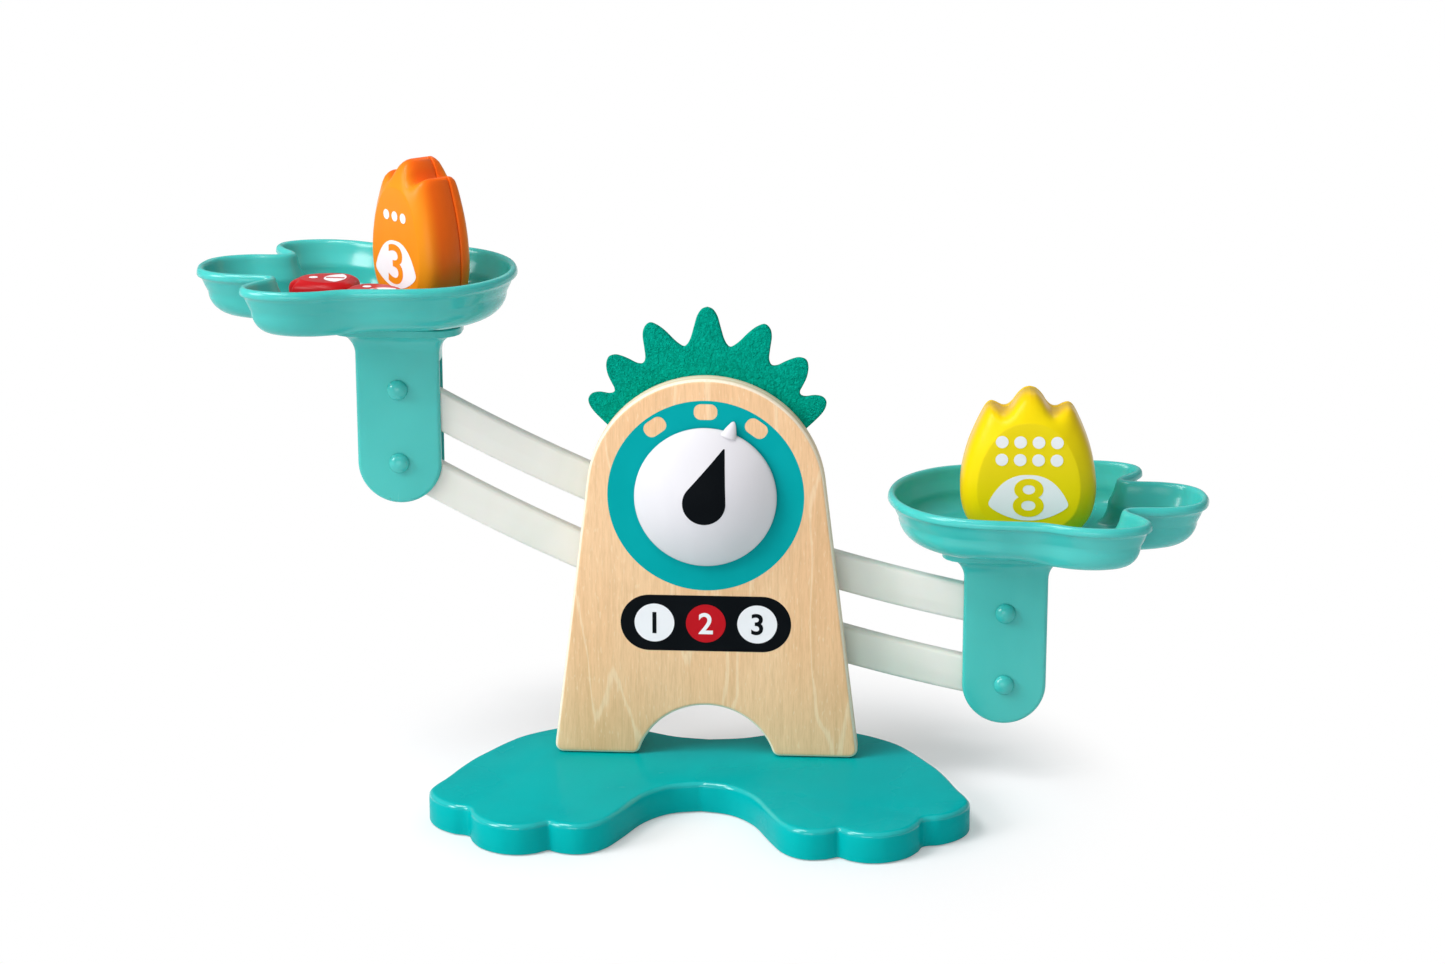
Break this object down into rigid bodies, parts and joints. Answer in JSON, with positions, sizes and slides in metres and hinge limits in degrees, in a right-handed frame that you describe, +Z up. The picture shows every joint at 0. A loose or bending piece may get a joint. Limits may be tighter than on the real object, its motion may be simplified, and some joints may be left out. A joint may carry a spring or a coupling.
{
  "type": "math balance",
  "caption": "Wooden toy balance: a level-pan parallel linkage tips between two upright panels on a footed base, with clover pans and numbered weights.",
  "frame": {"origin": "on the surface the base stands on, in the middle of the base's width, under the front panel's front face", "axes": "+X to the viewer's right along the beams, +Y away from the viewer, +Z up"},
  "size_m": [0.414, 0.1498, 0.2606],
  "materials": {
    "birch": "clear lacquer, plywood with layered edges",
    "teal_paint": "glossy paint on wood",
    "green_felt": "pressed felt",
    "ivory_plastic": "satin",
    "white_plastic": "gloss",
    "teal_plastic": "gloss",
    "steel": "zinc plated",
    "nylon": "natural",
    "orange_plastic": "gloss",
    "yellow_plastic": "gloss",
    "red_plastic": "gloss"
  },
  "bodies": {
    "frame": {"base_board": "teal_paint", "front_panel": "birch", "rear_panel": "birch", "felt_crest": "green_felt", "crest_spacer": "birch", "leg_spacer_left": "birch", "leg_spacer_right": "birch", "panel_screw_front_left": "steel", "panel_screw_front_right": "steel", "panel_screw_rear_left": "steel", "panel_screw_rear_right": "steel", "pivot_bush_front": "nylon", "pivot_bush_rear": "nylon", "lower_pivot_washer_front": "nylon", "lower_pivot_washer_rear": "nylon", "lower_pivot_pin": "steel", "stop_pin_left": "steel", "stop_pin_right": "steel"},
    "upper_beam": {"upper_beam": "ivory_plastic", "dome_pointer": "white_plastic", "pivot_shaft": "steel", "pivot_cap": "white_plastic"},
    "lower_beam": {"lower_beam": "ivory_plastic"},
    "left_hanger": {"left_hanger": "teal_plastic", "left_pan": "teal_plastic", "left_upper_pin": "teal_plastic", "left_upper_cap": "teal_plastic", "left_lower_pin": "teal_plastic", "left_lower_cap": "teal_plastic"},
    "right_hanger": {"right_hanger": "teal_plastic", "right_pan": "teal_plastic", "right_upper_pin": "teal_plastic", "right_upper_cap": "teal_plastic", "right_lower_pin": "teal_plastic", "right_lower_cap": "teal_plastic"},
    "weight_8": {"weight_8_front": "yellow_plastic", "weight_8_back": "yellow_plastic", "weight_8_slug": "steel"},
    "weight_3": {"weight_3_front": "orange_plastic", "weight_3_back": "orange_plastic", "weight_3_slug": "steel"},
    "weight_1_near": {"weight_1_near_front": "red_plastic", "weight_1_near_back": "red_plastic", "weight_1_near_slug": "steel"},
    "weight_1_far": {"weight_1_far_front": "red_plastic", "weight_1_far_back": "red_plastic", "weight_1_far_slug": "steel"}
  },
  "joints": [
    {"name": "upper_beam_tilt", "type": "hinge", "parent": "frame", "child": "upper_beam", "pos_m": [0, 0.015, 0.1255], "axis": [0, 1, 0], "range_deg": [-40, 0]},
    {"name": "lower_beam_tilt", "type": "hinge", "parent": "frame", "child": "lower_beam", "pos_m": [0, 0.015, 0.0945], "axis": [0, 1, 0], "range_deg": [-40, 0]},
    {"name": "left_hanger_swing", "type": "hinge", "parent": "upper_beam", "child": "left_hanger", "pos_m": [-0.12686, 0.015, 0.16582], "axis": [0, 1, 0], "range_deg": [0, 40]},
    {"name": "right_hanger_swing", "type": "hinge", "parent": "upper_beam", "child": "right_hanger", "pos_m": [0.1231, 0.015, 0.07484], "axis": [0, 1, 0], "range_deg": [0, 40]},
    {"name": "weight_8_lift", "type": "slide", "parent": "right_hanger", "child": "weight_8", "axis": [0, 0, 1], "range_m": [0, 0.08]},
    {"name": "weight_3_lift", "type": "slide", "parent": "left_hanger", "child": "weight_3", "axis": [0, 0, 1], "range_m": [0, 0.08]},
    {"name": "weight_1_near_lift", "type": "slide", "parent": "left_hanger", "child": "weight_1_near", "axis": [0, 0, 1], "range_m": [0, 0.08]},
    {"name": "weight_1_far_lift", "type": "slide", "parent": "left_hanger", "child": "weight_1_far", "axis": [0, 0, 1], "range_m": [0, 0.08]}
  ],
  "couplings": [
    {"joint": "lower_beam_tilt", "follows": "upper_beam_tilt", "ratio": 1},
    {"joint": "left_hanger_swing", "follows": "upper_beam_tilt", "ratio": -1},
    {"joint": "right_hanger_swing", "follows": "upper_beam_tilt", "ratio": -1}
  ]
}
